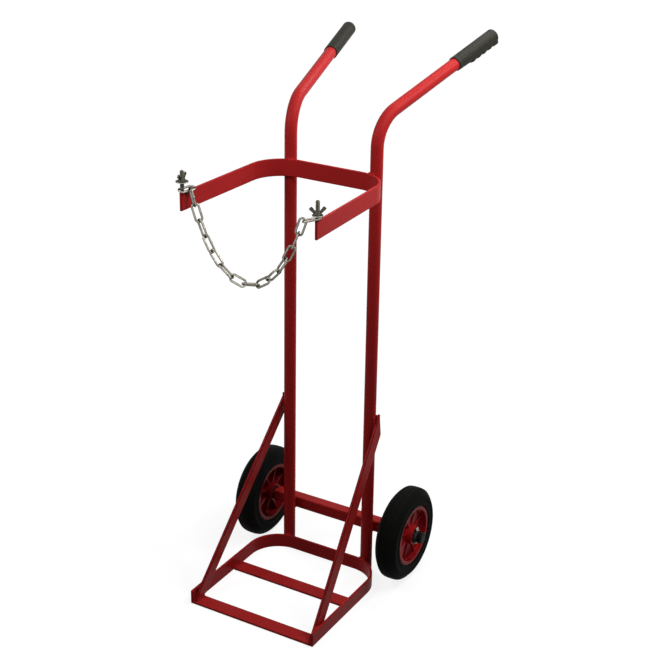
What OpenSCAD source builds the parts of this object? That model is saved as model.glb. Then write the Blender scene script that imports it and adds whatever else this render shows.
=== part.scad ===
// Two-wheeled trolley for one tall gas cylinder.
// Millimetres, +Z up, +X to the right, +Y towards the handles.
// The origin lies on the floor, under the middle of the trolley's outline.

/* [Uprights and handles] */
// Outside diameter of the frame tube
tube_od = 25; // [22:0.5:30]
// Wall of the frame tube
tube_wall = 2; // [1.2:0.1:3]
// Distance between the axes of the two uprights
upright_gap = 192; // [170:1:210]
// Height at which the tube starts to bend back
bend_height = 928; // [900:1:1040]
// Radius of the bend on the tube's axis
bend_radius = 70; // [40:1:80]
// Angle that the left tube is bent through
left_bend = 78.5; // [55:0.5:85]
// Angle that the right tube is bent through
right_bend = 73.5; // [55:0.5:85]
// Angle that the left handle points outwards
left_splay = 12.5; // [0:0.5:18]
// Angle that the right handle points outwards
right_splay = 10.5; // [0:0.5:18]
// Straight tube past the bend
handle_len = 319.5; // [260:0.5:380]
// How much fuller tube and bar are where they are bent, on each face
bend_swell = 0.06; // [0.03:0.01:0.1]

/* [Hand grips] */
// Length of a grip over its closed end
grip_len = 130.5; // [115:0.5:150]
// Wall of a grip around the tube
grip_wall = 2; // [1.5:0.1:4]
// Thickness of a grip's closed end
grip_end = 4; // [2:0.5:8]
// Number of finger ridges under a grip
grip_ridges = 5; // [4:1:5]
// Distance from one finger ridge to the next
ridge_pitch = 18.4; // [16:0.2:20]
// How far the finger ridges stand out
ridge_height = 4; // [2:0.1:5]
// How far the left grip was left turned outwards on its tube
left_grip_turn = 35; // [0:5:60]

/* [Flat bars] */
// Width of the bar in the base band and the braces
bar_w = 30; // [25:1:36]
// Thickness of all flat bar
bar_t = 5; // [4:0.5:6]
// Width of the two bars that lie in the base
deck_bar_w = 32; // [25:1:45]
// Inside radius of the bands' corners
corner_radius = 65; // [50:1:75]
// Room left for the weld between two frame pieces
weld_gap = 0.2; // [0.1:0.05:0.5]

/* [Upper band] */
// Width of the upper band's bar
band_w = 35; // [28:1:38]
// Height of the upper band's top edge
band_top = 881; // [760:1:900]
// Distance from the upright axes to the front of the arms
arm_reach = 302; // [260:1:340]
// Inside width of the upper band where the arms leave the corners
arm_gap = 266; // [250:1:285]
// Angle that each arm points outwards
arm_splay = 2; // [0:0.5:4]

/* [Base] */
// Outside width of the base
base_w = 291; // [270:1:310]
// Distance from the upright axes to the front of the base
base_reach = 302; // [270:1:340]
// Distance from the upright axes to the middle of the middle bar
middle_bar_reach = 137; // [115:1:170]
// Height of the top of a brace
brace_top = 369; // [300:1:450]
// How far a brace runs past the upright axis
brace_overrun = 11; // [5:0.5:15]

/* [Axle] */
// Outside of the square axle beam
beam_side = 25; // [25:0.5:30]
// Wall of the axle beam
beam_wall = 2; // [1.5:0.1:2.2]
// Diameter of the axle rod
axle_d = 20; // [16:0.5:20]
// Outside diameter of the axle washers
axle_washer_d = 29; // [28:1:38]
// Thickness of the axle washers
axle_washer_t = 2.5; // [2:0.1:4]
// Wire diameter of the split pins
split_pin_d = 3.8; // [3:0.1:5]
// Length of the split pins' shanks
split_pin_len = 32; // [28:1:40]
// Wire diameter of the split pins' eyes
pin_eye_wire = 2.6; // [2:0.1:3.4]
// Wall of the plastic caps on the axle's ends
cap_wall = 2.2; // [1.5:0.1:4]
// Length of the plastic caps
cap_len = 12; // [9:0.5:18]

/* [Wheels] */
// Diameter of a wheel over its tyre
wheel_d = 200; // [180:1:220]
// Width of a tyre
tyre_w = 48; // [44:1:54]
// Room between a tyre and the side of the base
wheel_room = 3.3; // [3:0.1:8]
// Radius of a tyre's shoulders
tyre_shoulder = 12; // [8:0.5:16]
// Diameter of the wheel centre under the tyre
rim_d = 128; // [120:1:134]
// Wall of the wheel centre's outer ring
rim_wall = 5; // [4:0.5:7]
// How far the wheel centre's ring lies inside the tyre's sides
rim_inset = 2; // [0:0.5:4]
// How far the ribs of the wheel centre lie below its ring's edges
dish_depth = 9; // [6:0.5:12]
// Thickness of the wheel centre's web and ribs
web_t = 4; // [3:0.5:6]
// How far the wheel centre's web lies outwards from the middle of the wheel
web_shift = 8; // [0:0.5:9]
// Number of ribs in a wheel centre
rib_count = 8; // [5:1:12]
// Outside diameter of a wheel's hub
hub_d = 40; // [34:1:46]
// Length of a wheel's hub
hub_len = 50; // [46:1:60]
// Wall of the bearing bush in the hub
bush_wall = 3; // [2:0.5:4]
// Side play of a wheel between its washers
side_play = 0.3; // [0.2:0.05:0.6]
// Clearance of the bush round the axle, on the radius
axle_clearance = 0.05; // [0.02:0.01:0.09]
// Room round pieces that are pushed in or over, on the radius
push_clearance = 0.15; // [0.1:0.05:0.3]

/* [Studs and wing nuts] */
// Diameter of the threaded studs
stud_d = 8; // [6:0.5:9]
// Height of the left stud over its arm
left_stud_len = 41; // [38:1:50]
// Height of the right stud over its arm
right_stud_len = 36; // [32:1:50]
// Distance from the end of an arm to the middle of its stud
stud_inset = 6; // [5:0.5:9]
// Outside diameter of the left stud's washer
left_washer_d = 24; // [20:1:26]
// Outside diameter of the right stud's washer
right_washer_d = 20; // [18:1:26]
// Thickness of the stud washers
stud_washer_t = 1.6; // [1:0.1:2.5]
// Height of the left washer's underside over the arm
left_washer_rise = 19.5; // [11:0.5:22]
// Height of the right washer's underside over the arm
right_washer_rise = 8.4; // [8:0.1:11]
// Diameter of a wing nut's body
nut_d = 14; // [12:0.5:16]
// Height of a wing nut's body
nut_h = 7; // [5:0.5:8]
// Length of a wing from the nut's axis
wing_reach = 17.5; // [15:0.5:22]
// Width of a wing
wing_w = 7; // [5:0.5:8]
// Thickness of a wing
wing_t = 3; // [2:0.5:4]
// Angle of the wings over the level
wing_angle = 48; // [30:1:60]
// Direction in which the left nut's wings were left
left_nut_turn = 95; // [0:5:180]
// Direction in which the right nut's wings were left
right_nut_turn = 40; // [0:5:180]
// Clearance of the nuts round the studs, on the radius
thread_clearance = 0.08; // [0.03:0.01:0.09]

/* [Chain] */
// Wire diameter of the chain
chain_wire = 4; // [3.5:0.1:4.5]
// Inside length of a link
link_inside = 30.6; // [27:0.1:33]
// Room for a stud inside a link, across the link
link_stud_play = 1.2; // [1:0.1:2]
// Number of links that hang free between the two end links
free_links = 14; // [13:1:16]
// Play between two links
link_gap = 0.5; // [0.3:0.05:0.8]
// Extra play where the hanging chain is hooked in the two end links
end_play = 0.7; // [0.5:0.05:1]
// Lengthwise turn of the first end link on its arm
left_link_turn = 15; // [12:1:18]
// Tip of the first end link towards the inside
left_link_tip = 14; // [8:1:16]
// Distance along the first end link from its stud to the hanging chain
left_hang = 14; // [12:0.5:16]
// Turn of the last end link towards the front
right_link_turn = 8; // [0:1:15]
// Slope of the last end link
right_link_slope = 18; // [8:1:22]
// Roll of the first hanging link
first_roll = -60; // [-70:1:-58]
// How far each link falls short of a quarter turn to the next where the chain is twisted
twist_step = 12; // [6:1:15]

/* [Hidden] */
$fn = 96;
end_links = 2;
chain_links = free_links + end_links;
function link_name(i) = str("chain_link_", i < 10 ? "0" : "", i);
frame_pieces = ["upright", "grip", "brace", "stud", "stud_washer", "wing_nut"];
wheel_pieces = ["tyre", "wheel_centre", "bush", "inner_washer", "outer_washer", "split_pin", "axle_cap"];

paint_red = [0.72, 0.06, 0.08];
plastic_red = [0.66, 0.04, 0.05];
rubber_black = [0.05, 0.05, 0.05];
grip_grey = [0.17, 0.17, 0.15];
zinc_grey = [0.62, 0.61, 0.56];
steel_grey = [0.45, 0.45, 0.46];
// Overlap of two pieces of one solid, and of cutting tools past a face
lap = 1;
left = -1;
right = 1;

// Frame
tube_r = tube_od / 2;
upright_x = upright_gap / 2;
corner_mid = corner_radius + bar_t / 2;
corner_out = corner_radius + bar_t;
function bend_of(side) = side == left ? left_bend : right_bend;
function splay_of(side) = side == left ? left_splay : right_splay;
function bend_back(side) = bend_radius * (1 - cos(bend_of(side)));
function handle_back(side) = cos(splay_of(side)) * (
    bend_back(side)
    + (handle_len + grip_end) * sin(bend_of(side))
    + tube_r * cos(bend_of(side))
);
// The origin is midway between the front of the left nut and the end of the longer handle
wing_tip = stud_d / 2 + (wing_reach - stud_d / 2) * cos(wing_angle) + wing_w / 2 * sin(wing_angle);
wing_front = wing_tip * sin(left_nut_turn) + wing_t / 2 * abs(cos(left_nut_turn));
front_edge = arm_reach - stud_inset + max(left_washer_d / 2, wing_front);
upright_y = (front_edge - max(handle_back(left), handle_back(right))) / 2;
// Finger ridges: each is part of a circle of twice its height, and the last one ends short of the grip's end
ridge_r = 2 * ridge_height;
ridge_half = sqrt(pow(ridge_r, 2) - pow(ridge_r - ridge_height, 2));
last_ridge = grip_len - grip_end / 2 - ridge_half;
// A band's corner touches the tube: distance of the corner's centre in front of the upright axes
function corner_front(corner_x) = sqrt(pow(corner_out + bend_swell + tube_r + weld_gap, 2)
    - pow(max(0, upright_x - corner_x), 2));
base_corner_x = base_w / 2 - corner_out;
base_corner_y = -corner_front(base_corner_x);
upper_corner_x = arm_gap / 2 - corner_radius * cos(arm_splay);
upper_corner_y = -corner_front(upper_corner_x);
arm_root = [upper_corner_x + corner_mid * cos(arm_splay), upper_corner_y + corner_mid * sin(arm_splay)];
arm_len = (arm_reach + arm_root[1]) / cos(arm_splay);
base_side_len = base_reach + base_corner_y;
deck_len = base_w - 2 * (bar_t + weld_gap);

// Braces: the foot is cut level and the top upright, and the bar leans in from the base to the upright's side
brace_rise = brace_top - bar_t - weld_gap;
brace_slope = atan2(brace_rise, base_reach + brace_overrun);
foot_cut = bar_w / sin(brace_slope);
top_cut = bar_w / cos(brace_slope);
brace_foot_x = base_w / 2 - bar_t - weld_gap;
brace_shift = brace_foot_x - upright_x - tube_r - weld_gap;
brace_lean = asin(brace_shift / norm([brace_rise, bar_t])) - atan(bar_t / brace_rise);
brace_foot = bar_t + weld_gap + bar_t * sin(brace_lean);

// Axle and wheels
axle_y = tube_r + weld_gap + beam_side / 2;
axle_z = wheel_d / 2;
wheel_x = base_w / 2 + wheel_room + tyre_w / 2;
hub_in = wheel_x - hub_len / 2;
beam_len = 2 * (hub_in - side_play - axle_washer_t);
hub_out = hub_in + hub_len;
outer_washer_x = hub_out + side_play;
split_pin_x = outer_washer_x + axle_washer_t + split_pin_d / 2 + push_clearance;
cap_x = split_pin_x + split_pin_d / 2 + push_clearance;
axle_half = cap_x + cap_len - cap_wall;
rim_r = rim_d / 2;
tyre_bore_r = rim_r + push_clearance;
rim_half = tyre_w / 2 - rim_inset;
bush_r = axle_d / 2 + axle_clearance + bush_wall;
rib_half = rim_half - dish_depth;

// Studs and nuts
stud_r = stud_d / 2;
stud_x = arm_root[0] + arm_len * sin(arm_splay) - stud_inset * tan(arm_splay);
stud_y = -arm_reach + stud_inset;

// Chain: the two end links lie on the arms, the others hang between them
link_width = stud_d + link_stud_play;
link_mid = (link_width + chain_wire) / 2;
link_ends = link_inside + chain_wire;
link_leg = link_ends - 2 * link_mid;
wire_r = chain_wire / 2;
touch = (chain_wire + link_gap) / 2;
link_pitch = link_inside - link_gap;
stud_to_wire = stud_r + wire_r + link_gap / 2;
lie = wire_r + weld_gap;
// First end link: its long side points back along the arm, and the chain hangs on its inner leg
left_over = (bar_t / 2 + stud_to_wire * sin(left_link_turn)) / cos(left_link_turn);
left_rest = left_over * sin(left_link_tip) + lie;
left_link_at = [-stud_x, stud_y, band_top + left_rest / cos(left_link_tip)];
left_link_mid = link_ends / 2 - stud_to_wire;
left_leg = [link_mid * cos(left_link_tip), left_hang, -link_mid * sin(left_link_tip)];
left_hang_at = left_link_at + [left_leg[0] * cos(left_link_turn) + left_leg[1] * sin(left_link_turn),
    left_leg[1] * cos(left_link_turn) - left_leg[0] * sin(left_link_turn), left_leg[2]];
chain_start = left_hang_at + [0, 0, touch + end_play];
// Last end link: it slopes down over the arm's inner edge
right_rest = bar_t / 2 * sin(right_link_slope) + lie;
right_link_z = band_top + right_rest / cos(right_link_slope);
right_far = link_ends - stud_to_wire / cos(right_link_slope);
right_link_at = [stud_x, stud_y, right_link_z];
right_dir = [-cos(right_link_slope) * cos(right_link_turn), -cos(right_link_slope) * sin(right_link_turn),
    -sin(right_link_slope)];
chain_end = right_link_at + right_far * right_dir + [0, 0, touch + end_play];
// The hanging links have equal weights, so the slopes' tangents grow in equal steps from link to link
chain_run = chain_end - chain_start;
chain_turn = atan2(chain_run[1], chain_run[0]);
chain_fall = atan2(chain_run[2], norm([chain_run[0], chain_run[1]]));
chain_span = norm(chain_run);
function lean(i, step) = atan((i - (free_links - 1) / 2) * step);
function total(list, i = 0) = i == len(list) ? 0 : list[i] + total(list, i + 1);
function hung_span(step) = total([for (i = [0:free_links - 1]) link_pitch * cos(lean(i, step))]);
function hang_step(low, high, tries) = tries == 0 ? (low + high) / 2
    : hung_span((low + high) / 2) > chain_span ? hang_step((low + high) / 2, high, tries - 1)
    : hang_step(low, (low + high) / 2, tries - 1);
flattest_step = 0.01;
steepest_step = 4;
halvings = 40;
lean_step = hang_step(flattest_step, steepest_step, halvings);
leans = [for (i = [0:free_links - 1]) lean(i, lean_step)];
function hung_x(i) = i == 0 ? 0 : hung_x(i - 1) + link_pitch * cos(leans[i - 1]);
function hung_z(i) = i == 0 ? 0 : hung_z(i - 1) + link_pitch * sin(leans[i - 1]);
// Neighbours stand a quarter turn apart, but for the twist on the way down and over the last links
down_twist_from = 1;
down_twist_links = 5;
end_twist_links = 4;
end_twist_from = free_links - 1 - end_twist_links;
function ramp(i, from, count) = min(max(i - from, 0), count);
function roll(i) = first_roll + 90 * i
    - twist_step * (ramp(i, down_twist_from, down_twist_links) + ramp(i, end_twist_from, end_twist_links));

// Everything is drawn from the upright axes and the floor
module on_frame() {
    translate([0, upright_y, 0]) children();
}

// A piece of the left side is the mirror image of the right side's
module on_side(side) {
    mirror([side == left ? 1 : 0, 0, 0]) children();
}

module tube_section(swell) {
    difference() {
        circle(r = tube_r + swell);
        circle(r = tube_r - tube_wall - swell);
    }
}

// Upright tube, bend and handle: both straight lengths run a little way into the bend
module upright(side) {
    bend = bend_of(side);
    color(paint_red) on_frame() on_side(side) {
        on_upright(side) linear_extrude(bend_height + lap) tube_section(0);
        on_upright(side) translate([bend_radius, 0, bend_height]) rotate([90, 0, 0])
            rotate([0, 0, 180 - bend]) rotate_extrude(angle = bend)
                translate([bend_radius, 0]) tube_section(bend_swell);
        on_handle(side) translate([0, 0, -lap]) linear_extrude(handle_len + lap) tube_section(0);
    }
}

// Puts the origin at the upright's foot, with +X in the direction that the handle points
module on_upright(side) {
    translate([upright_x, 0, 0]) rotate([0, 0, 90 - splay_of(side)]) children();
}

// Puts +Z along the handle, from the end of the bend, with +X on the handle's upper side
module on_handle(side) {
    bend = bend_of(side);
    on_upright(side) translate([bend_back(side), 0, bend_height + bend_radius * sin(bend)])
        rotate([0, bend, 0]) rotate([0, 0, 180]) children();
}

// Half section of a grip: a sleeve over the tube with a rounded closed end
module grip_profile() {
    bore_r = tube_r + push_clearance;
    out_r = bore_r + grip_wall;
    open_len = grip_len - grip_end;
    translate([bore_r, 0]) square([grip_wall, open_len]);
    translate([0, open_len]) square([out_r - grip_end, grip_end]);
    intersection() {
        translate([out_r - grip_end, open_len]) circle(r = grip_end);
        translate([out_r - grip_end, open_len]) square(grip_end);
    }
}

// Soft sleeve with round finger ridges under it
module grip(side) {
    grip_start = handle_len + push_clearance + grip_end - grip_len;
    ridge_arc = 150;
    turned = side == left ? -left_grip_turn : 0;
    color(grip_grey) on_frame() on_side(side) on_handle(side) translate([0, 0, grip_start]) {
        rotate_extrude() grip_profile();
        rotate([0, 0, turned + 180 - ridge_arc / 2]) for (i = [0:grip_ridges - 1])
            translate([0, 0, last_ridge - i * ridge_pitch]) rotate_extrude(angle = ridge_arc) ridge_profile();
    }
}

// One ridge: the part of a circle that stands out of the sleeve
module ridge_profile() {
    bore_r = tube_r + push_clearance;
    intersection() {
        translate([bore_r + grip_wall + ridge_height - ridge_r, 0]) circle(r = ridge_r);
        translate([bore_r + grip_wall / 2, -ridge_r]) square(2 * ridge_r);
    }
}

// Flat bar on edge: the back and the two arms run a little way into the bent corners
module band(corner_x, corner_y, splay, side_len, wide) {
    translate([-corner_x - lap, corner_y + corner_radius, 0]) cube([2 * (corner_x + lap), bar_t, wide]);
    for (side = [left, right]) on_side(side) translate([corner_x, corner_y, 0]) rotate([0, 0, splay]) {
        rotate_extrude(angle = 90 - splay) translate([corner_radius - bend_swell, 0])
            square([bar_t + 2 * bend_swell, wide]);
        translate([corner_radius, -side_len, 0]) cube([bar_t, side_len + lap, wide]);
    }
}

module upper_band() {
    color(paint_red) on_frame() translate([0, 0, band_top - band_w])
        band(upper_corner_x, upper_corner_y, arm_splay, arm_len, band_w);
}

module base_band() {
    color(paint_red) on_frame() band(base_corner_x, base_corner_y, 0, base_side_len, bar_w);
}

module deck_bar(front) {
    color(paint_red) on_frame() translate([-deck_len / 2, front, 0]) cube([deck_len, deck_bar_w, bar_t]);
}

module base_front_bar() {
    deck_bar(-base_reach);
}

module base_middle_bar() {
    deck_bar(-middle_bar_reach - deck_bar_w / 2);
}

// Flat bar inside the base's side at its foot and outside the upright at its top
module brace(side) {
    color(paint_red) on_frame() on_side(side) translate([brace_foot_x, 0, brace_foot])
        rotate([0, -brace_lean, 0]) rotate([90, 0, -90]) linear_extrude(bar_t) polygon([
            [base_reach, 0],
            [base_reach - foot_cut, 0],
            [-brace_overrun, brace_rise - top_cut],
            [-brace_overrun, brace_rise]
        ]);
}

module axle_beam() {
    color(paint_red) on_frame() translate([-beam_len / 2, axle_y, axle_z])
        rotate([90, 0, 90]) linear_extrude(beam_len) difference() {
            square(beam_side, center = true);
            square(beam_side - 2 * beam_wall, center = true);
        }
}

// Puts +Z along the axle towards the wheel, with the wheel's own up kept up
module on_axle(side) {
    on_frame() on_side(side) translate([0, axle_y, axle_z]) rotate([90, 0, 90]) children();
}

module axle_rod() {
    color(steel_grey) on_frame() difference() {
        translate([-axle_half, axle_y, axle_z]) rotate([0, 90, 0]) cylinder(d = axle_d, h = 2 * axle_half);
        for (side = [left, right]) translate([side * split_pin_x, axle_y, axle_z])
            cylinder(d = split_pin_d + 2 * push_clearance, h = axle_d + 2 * lap, center = true);
    }
}

module axle_washer(side, at) {
    color(zinc_grey) on_axle(side) translate([0, 0, at]) linear_extrude(axle_washer_t) difference() {
        circle(d = axle_washer_d);
        circle(d = axle_d + 2 * push_clearance);
    }
}

// Split pin: a shank through the axle with an eye on top
module split_pin(side) {
    eye_r = split_pin_d;
    color(zinc_grey) on_axle(side) translate([0, 0, split_pin_x]) {
        rotate([90, 0, 0]) cylinder(d = split_pin_d, h = split_pin_len, center = true);
        translate([0, split_pin_len / 2 + eye_r - split_pin_d / 2, 0])
            rotate_extrude() translate([eye_r, 0]) circle(d = pin_eye_wire);
    }
}

module axle_cap(side) {
    bore_r = axle_d / 2 + push_clearance;
    color(rubber_black) on_axle(side) translate([0, 0, cap_x]) rotate_extrude() {
        translate([bore_r, 0]) square([cap_wall, cap_len - cap_wall]);
        translate([0, cap_len - cap_wall + push_clearance]) square([bore_r, cap_wall - push_clearance]);
        intersection() {
            translate([bore_r, cap_len - cap_wall]) circle(r = cap_wall);
            translate([bore_r, cap_len - cap_wall]) square(cap_wall);
        }
    }
}

// Half section of a tyre: flat tread, round shoulders, straight sides
module tyre_profile() {
    half = tyre_w / 2;
    tread_r = wheel_d / 2;
    shoulder_r = tread_r - tyre_shoulder;
    translate([tyre_bore_r, -half]) square([shoulder_r - tyre_bore_r, tyre_w]);
    translate([tyre_bore_r, tyre_shoulder - half])
        square([tread_r - tyre_bore_r, tyre_w - 2 * tyre_shoulder]);
    for (edge = [-1, 1]) translate([shoulder_r, edge * (half - tyre_shoulder)]) circle(r = tyre_shoulder);
}

module tyre(side) {
    color(rubber_black) on_axle(side) translate([0, 0, wheel_x]) rotate_extrude() tyre_profile();
}

// Moulded centre: outer ring, hub, a web towards the outside and ribs on both sides of it
module wheel_centre(side) {
    ring_in = rim_r - rim_wall;
    hub_r = hub_d / 2;
    color(plastic_red) on_axle(side) translate([0, 0, wheel_x]) {
        rotate_extrude() {
            translate([ring_in, -rim_half]) square([rim_wall, 2 * rim_half]);
            translate([hub_r - lap, web_shift - web_t / 2]) square([ring_in - hub_r + 2 * lap, web_t]);
            translate([bush_r + push_clearance, -hub_len / 2])
                square([hub_r - bush_r - push_clearance, hub_len]);
        }
        for (i = [0:rib_count - 1]) rotate([0, 0, (i + 0.5) * 360 / rib_count])
            translate([hub_r - lap, -web_t / 2, -rib_half])
                cube([ring_in - hub_r + 2 * lap, web_t, 2 * rib_half]);
    }
}

module bush(side) {
    color(steel_grey) on_axle(side) translate([0, 0, hub_in]) linear_extrude(hub_len) difference() {
        circle(r = bush_r);
        circle(r = axle_d / 2 + axle_clearance);
    }
}

module on_stud(side, rise) {
    on_frame() translate([side * stud_x, stud_y, band_top + rise]) children();
}

module stud(side) {
    color(zinc_grey) on_stud(side, 0) cylinder(r = stud_r, h = side == left ? left_stud_len : right_stud_len);
}

function washer_rise(side) = side == left ? left_washer_rise : right_washer_rise;

module stud_washer(side) {
    color(zinc_grey) on_stud(side, washer_rise(side)) linear_extrude(stud_washer_t) difference() {
        circle(d = side == left ? left_washer_d : right_washer_d);
        circle(r = stud_r + thread_clearance);
    }
}

// Wing nut: a round body with two flat wings that spread upwards
module wing_nut(side) {
    turned = side == left ? left_nut_turn : right_nut_turn;
    color(zinc_grey) on_stud(side, washer_rise(side) + stud_washer_t) rotate([0, 0, turned]) difference() {
        union() {
            cylinder(d = nut_d, h = nut_h);
            for (wing = [0, 180]) rotate([0, 0, wing]) translate([0, wing_t / 2, 0]) rotate([90, 0, 0])
                linear_extrude(wing_t) difference() {
                    translate([stud_r, nut_h / 2]) rotate([0, 0, wing_angle]) translate([0, -wing_w / 2])
                        square([wing_reach - stud_r, wing_w]);
                    translate([0, -nut_h]) square([wing_reach, nut_h]);
                }
        }
        translate([0, 0, -lap]) cylinder(r = stud_r + thread_clearance, h = nut_h + wing_reach + 2 * lap);
    }
}

// A link lies along X with its width along Y: two straight legs and two round ends
module link() {
    for (leg = [-1, 1]) translate([-link_leg / 2, leg * link_mid, 0]) rotate([0, 90, 0])
        cylinder(d = chain_wire, h = link_leg);
    for (end = [0, 180]) rotate([0, 0, end]) translate([link_leg / 2, 0, 0]) rotate([0, 0, -90])
        rotate_extrude(angle = 180) translate([link_mid, 0]) circle(d = chain_wire);
}

module left_end_link() {
    translate(left_link_at) rotate([0, 0, -left_link_turn]) rotate([0, left_link_tip, 0])
        translate([0, left_link_mid, 0]) rotate([0, 0, 90]) link();
}

module right_end_link() {
    translate(right_link_at) rotate([0, 0, right_link_turn]) rotate([0, -right_link_slope, 0])
        translate([link_ends / 2 - right_far, 0, 0]) link();
}

module hanging_link(i) {
    translate(chain_start) rotate([0, 0, chain_turn]) rotate([0, -chain_fall, 0])
        translate([hung_x(i), 0, hung_z(i)]) rotate([0, -leans[i], 0])
            translate([link_pitch / 2, 0, 0]) rotate([roll(i), 0, 0]) link();
}

module chain_link(i) {
    color(zinc_grey) on_frame() {
        if (i == 1) left_end_link();
        else if (i == chain_links) right_end_link();
        else hanging_link(i - end_links);
    }
}

upright(left);  // left_upright
upright(right);  // right_upright
grip(left);  // left_grip
grip(right);  // right_grip
upper_band();
base_band();
base_front_bar();
base_middle_bar();
brace(left);  // left_brace
brace(right);  // right_brace
axle_beam();
axle_rod();
axle_washer(left, beam_len / 2);  // left_inner_washer
axle_washer(right, beam_len / 2);  // right_inner_washer
axle_washer(left, outer_washer_x);  // left_outer_washer
axle_washer(right, outer_washer_x);  // right_outer_washer
split_pin(left);  // left_split_pin
split_pin(right);  // right_split_pin
axle_cap(left);  // left_axle_cap
axle_cap(right);  // right_axle_cap
tyre(left);  // left_tyre
tyre(right);  // right_tyre
wheel_centre(left);  // left_wheel_centre
wheel_centre(right);  // right_wheel_centre
bush(left);  // left_bush
bush(right);  // right_bush
stud(left);  // left_stud
stud(right);  // right_stud
stud_washer(left);  // left_stud_washer
stud_washer(right);  // right_stud_washer
wing_nut(left);  // left_wing_nut
wing_nut(right);  // right_wing_nut
for (i = [1:chain_links]) chain_link(i);
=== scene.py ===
"""Dresses the gas cylinder trolley: red powder-coated frame, chain, wheels and grips.

Metres, +Z up, +X to the right, +Y towards the handles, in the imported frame's own place.
"""
import math

import bpy
import numpy as np
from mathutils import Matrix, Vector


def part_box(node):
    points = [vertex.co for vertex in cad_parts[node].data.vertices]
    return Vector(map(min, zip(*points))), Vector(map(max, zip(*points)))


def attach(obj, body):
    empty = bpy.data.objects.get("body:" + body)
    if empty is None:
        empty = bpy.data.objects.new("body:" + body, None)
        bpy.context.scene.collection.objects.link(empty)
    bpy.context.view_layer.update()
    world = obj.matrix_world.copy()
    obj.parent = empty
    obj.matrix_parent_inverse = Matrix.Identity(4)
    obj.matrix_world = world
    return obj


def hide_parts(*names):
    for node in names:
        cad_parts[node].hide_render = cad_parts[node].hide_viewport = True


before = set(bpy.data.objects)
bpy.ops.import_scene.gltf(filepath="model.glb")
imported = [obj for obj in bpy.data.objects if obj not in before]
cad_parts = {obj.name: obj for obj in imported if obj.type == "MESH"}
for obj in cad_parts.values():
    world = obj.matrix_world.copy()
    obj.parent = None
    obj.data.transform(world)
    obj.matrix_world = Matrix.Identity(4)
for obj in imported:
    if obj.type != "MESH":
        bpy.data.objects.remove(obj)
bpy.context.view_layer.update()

SIDES = (("left", -1.0), ("right", 1.0))
ACROSS = np.array([1.0, 0.0, 0.0])
BACK = np.array([0.0, 1.0, 0.0])
UP = np.array([0.0, 0.0, 1.0])
MM = 0.001

# A face is flat from this many edge radii on
FLAT_FROM = 2.2
# Play between pushed-on pieces, and round turning ones
PUSH_FIT = 0.15 * MM
GRIP_PLAY = 0.1 * MM
BUSH_PLAY = 0.05 * MM
THREAD_PLAY = 0.08 * MM
# Stock that the frame is made of
TUBE_R = 12.5 * MM
TUBE_WALL = 2 * MM
BAR_W = 30 * MM
BAND_W = 35 * MM
BAR_T = 5 * MM
BAR_EDGE = 1.1 * MM
DECK_W = 32 * MM
CORNER_R = 65 * MM
BEAM_SIDE = 25 * MM
BEAM_EDGE = 2.2 * MM
WELD_GAP = 0.2 * MM
BEND_SWELL = 0.06 * MM
# Radii of the weld beads
SIDE_BEAD = 2.4 * MM
TOP_BEAD = 2.6 * MM
FLAT_BEAD = 2.2 * MM
FOOT_BEAD = 2.5 * MM
TOE_BEAD = 1.8 * MM
# Handles
BEND_H = 928 * MM
BEND_R = 70 * MM
BENDS = {"left": math.radians(78.5), "right": math.radians(73.5)}
SPLAYS = {"left": math.radians(12.5), "right": math.radians(10.5)}
HANDLE_LEN = 319.5 * MM
GRIP_LEN = 130.5 * MM
GRIP_TURNS = {"left": math.radians(35), "right": 0.0}
GRIP_END = 4 * MM
GRIP_R = 14.65 * MM
RIDGE_PITCH = 18.4 * MM
LAST_RIDGE = 121.6 * MM
FIRST_RIDGE = 48 * MM
SCALLOP_DEPTH = 2.7 * MM
FIN_DEPTH = 1.4 * MM
FLUTE_DEPTH = 0.3 * MM
FLUTE_COUNT = 18
# A grip's fin starts at this cosine from straight down, and is full this much further on
FIN_FROM = 0.42
FIN_BLEND = 0.4
# Base, arms and braces
BASE_REACH = 302 * MM
ARM_REACH = 302 * MM
ARM_GAP = 266 * MM
ARM_SPLAY = math.radians(2)
BRACE_TOP = 369 * MM
BRACE_OVERRUN = 11 * MM
# Wheels
RIM_R = 64 * MM
RIM_HALF = 22 * MM
HUB_R = 20 * MM
HUB_HALF = 25 * MM
BUSH_R = 13.05 * MM
AXLE_R = 10 * MM
AXLE_RING_R = 14.5 * MM
RIB_COUNT = 8
RIB_T = 4 * MM
WEB_SHIFT = 8 * MM
# Chain and wing nuts
STUD_R = 4 * MM
THREAD_RISE = 1.25 * MM
NUT_TURNS = {"left": 95, "right": 40}
STUD_RING_R = {"left": 12 * MM, "right": 10 * MM}
LINK_COUNT = 16
LINK_WIRE_R = 2 * MM
ZINC_COAT = 0.13 * MM
LINK_ENDS = 34.6 * MM


def span(node):
    """Lowest and highest corner of a CAD node, as arrays."""
    low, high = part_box(node)
    return np.array(low), np.array(high)


def middle(node):
    """Middle of a CAD node's box."""
    low, high = span(node)
    return (low + high) / 2


UPRIGHT_Y = span("base_front_bar")[0][1] + BASE_REACH
UPRIGHT_X = span("right_upright")[0][0] + TUBE_R
BAND_TOP = span("upper_band")[1][2]
BASE_HALF = span("base_band")[1][0] - BEND_SWELL
AXLE = middle("axle_rod")
WHEEL_X = middle("right_tyre")[0]


# Surfaces

def unit(v):
    """Vectors of an array brought to length 1."""
    v = np.asarray(v, float)
    return v / np.linalg.norm(v, axis=-1, keepdims=True)


def ring(steps):
    """Unit circle (cos a, sin a) at equal steps of a, without the last point again."""
    a = np.linspace(0, 2 * np.pi, steps, endpoint=False)
    return np.stack([np.cos(a), np.sin(a)], axis=-1)


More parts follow.
